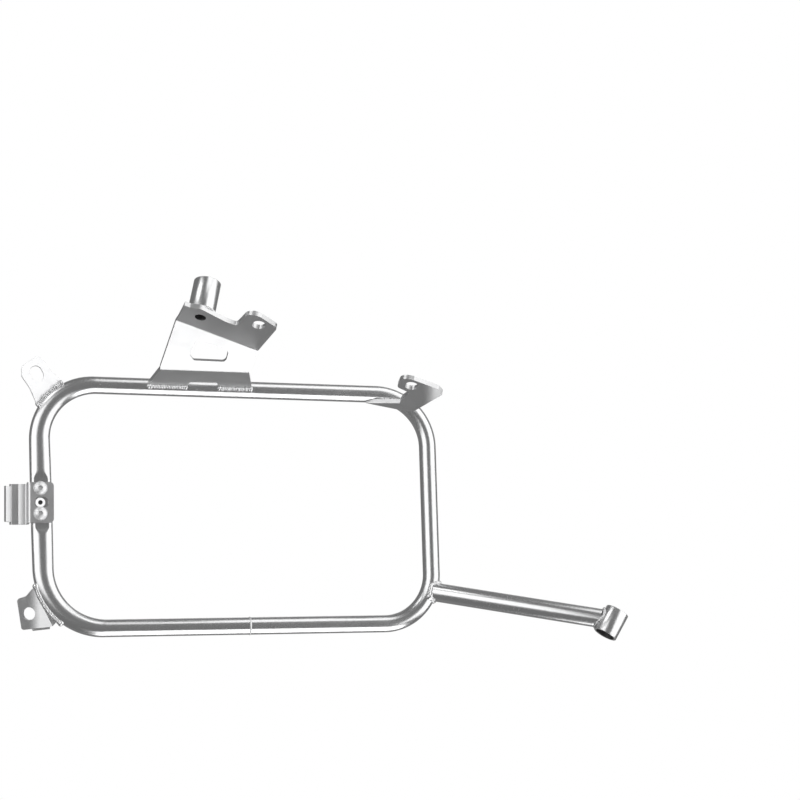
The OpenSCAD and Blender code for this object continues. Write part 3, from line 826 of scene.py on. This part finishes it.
# soft boxes: bearings from and to (0 faces the hoop's inner side, and right is positive), heights from and
# to, and brightness
softBoxes = {
    "left_box": (-78, -24, -12, 33, 1.7),
    "right_box": (26, 92, -35, 42, 1.7),
    "overhead_box": (6, 100, 44, 77, 1.7),
    "high_left_box": (-88, -46, 41, 57, 2.6),
    "rear_wall": (118, 242, -62, 2, 0.27),
    "high_rear_wall": (100, 200, 40, 70, 0.30),
    "rear_box": (147, 180, -5, 36, 1.1),
}
# the bright sheet far under the frame: from and to along the hoop and across it
underSheet = {"drop": 4.0, "along": (-0.48, 2.72), "across": (-3.40, 1.44), "brightness": 2.7}
mx, my, mz = studio["middle"]


def emission(f, strength=1.0):
    return f.node("ShaderNodeEmission", None, Color=(1, 1, 1, 1), Strength=strength)


def stageMesh(name, points, faces, material):
    mesh = bpy.data.meshes.new(name)
    mesh.from_pydata(points, [], faces)
    mesh.materials.append(material)
    piece = bpy.data.objects.new(name, mesh)
    scene.collection.objects.link(piece)
    return piece


def sheetMesh(name, xs, ys, z, material):
    points = [(xs[0], ys[0], z), (xs[1], ys[0], z), (xs[1], ys[1], z), (xs[0], ys[1], z)]
    return stageMesh(name, points, [(0, 1, 2, 3)], material)


def onlyInReflections(piece):
    piece.visible_camera = False
    piece.visible_diffuse = False
    piece.visible_shadow = False
    piece.visible_transmission = False
    piece.visible_volume_scatter = False


def paleFloor():
    # the floor keeps the shadow under the frame and fades to plain white further out
    f = Finish(bpy.data.materials.new("paleFloor"))
    place = f.wire(f.node("ShaderNodeTexCoord"), "Object")
    away = f.vector("DISTANCE", "Value", i0=place, i1=(mx, my, mz - studio["floorDrop"]))
    fade = ((away - studio["fadeFrom"]) * (1 / (studio["fadeTo"] - studio["fadeFrom"]))).between(0.0, 1.0)
    pale = f.node("ShaderNodeBsdfDiffuse", None, Color=(studio["floorShade"],) * 3 + (1,))
    f.surface(f.node("ShaderNodeMixShader", None, i0=fade, i1=f.wire(pale), i2=f.wire(emission(f))))
    return f.owner


def roomPatch(name, start, end, low, high, brightness, radius):
    # part of a ball round the object, between two bearings and two heights
    f = Finish(bpy.data.materials.new(name))
    f.surface(emission(f, brightness))
    across = max(4, round(abs(end - start) / studio["patchStep"]))
    rise = max(3, round(abs(high - low) / studio["patchStep"]))
    points, faces = [], []
    for j in range(rise + 1):
        e = math.radians(low + (high - low) * j / rise)
        for k in range(across + 1):
            t = math.radians(start + (end - start) * k / across)
            points.append((mx + radius * math.cos(e) * math.sin(t), my - radius * math.cos(e) * math.cos(t),
                           mz + radius * math.sin(e)))
    for j in range(rise):
        for k in range(across):
            m = j * (across + 1) + k
            faces.append((m, m + 1, m + across + 2, m + across + 1))
    onlyInReflections(stageMesh(name, points, faces, f.owner))


half = studio["floorSize"] / 2
floorAt = mz - studio["floorDrop"]
floor = sheetMesh("floor", (mx - half, mx + half), (my - half, my + half), floorAt, paleFloor())
floor.visible_glossy = False
roomPatch("dim_room", -180, 180, -90, 90, studio["roomShade"], studio["roomRadius"])
for k, (name, box) in enumerate(softBoxes.items()):
    roomPatch(name, *box, studio["boxRadius"] + studio["boxGap"] * k)
bright = Finish(bpy.data.materials.new("under_sheet"))
bright.surface(emission(bright, underSheet["brightness"]))
sheetX = [mx + x for x in underSheet["along"]]
sheetY = [my + y for y in underSheet["across"]]
onlyInReflections(sheetMesh("under_sheet", sheetX, sheetY, mz - underSheet["drop"], bright.owner))

# the surround is white where it is seen and a little dimmer as light
scene.world = bpy.data.worlds.new("surround")
sky = Finish(scene.world, "ShaderNodeOutputWorld")
rays = sky.node("ShaderNodeLightPath")
seen = sky.wire(rays, "Is Camera Ray").maths("MAXIMUM", sky.wire(rays, "Is Glossy Ray"))
seen = seen.maths("MAXIMUM", sky.wire(rays, "Is Transmission Ray"))
level = seen * (1 - studio["surround"]) + studio["surround"]
sky.surface(sky.node("ShaderNodeBackground", None, Color=(1, 1, 1, 1), Strength=level))

light = bpy.data.lights.new("overhead", "AREA")
light.shape = "SQUARE"
light.size = lamp["size"]
light.energy = lamp["watts"]
overhead = bpy.data.objects.new("overhead", light)
overhead.location = lamp["place"]
overhead.visible_glossy = False
scene.collection.objects.link(overhead)
scene.view_settings.view_transform = "Standard"
print("studio set")
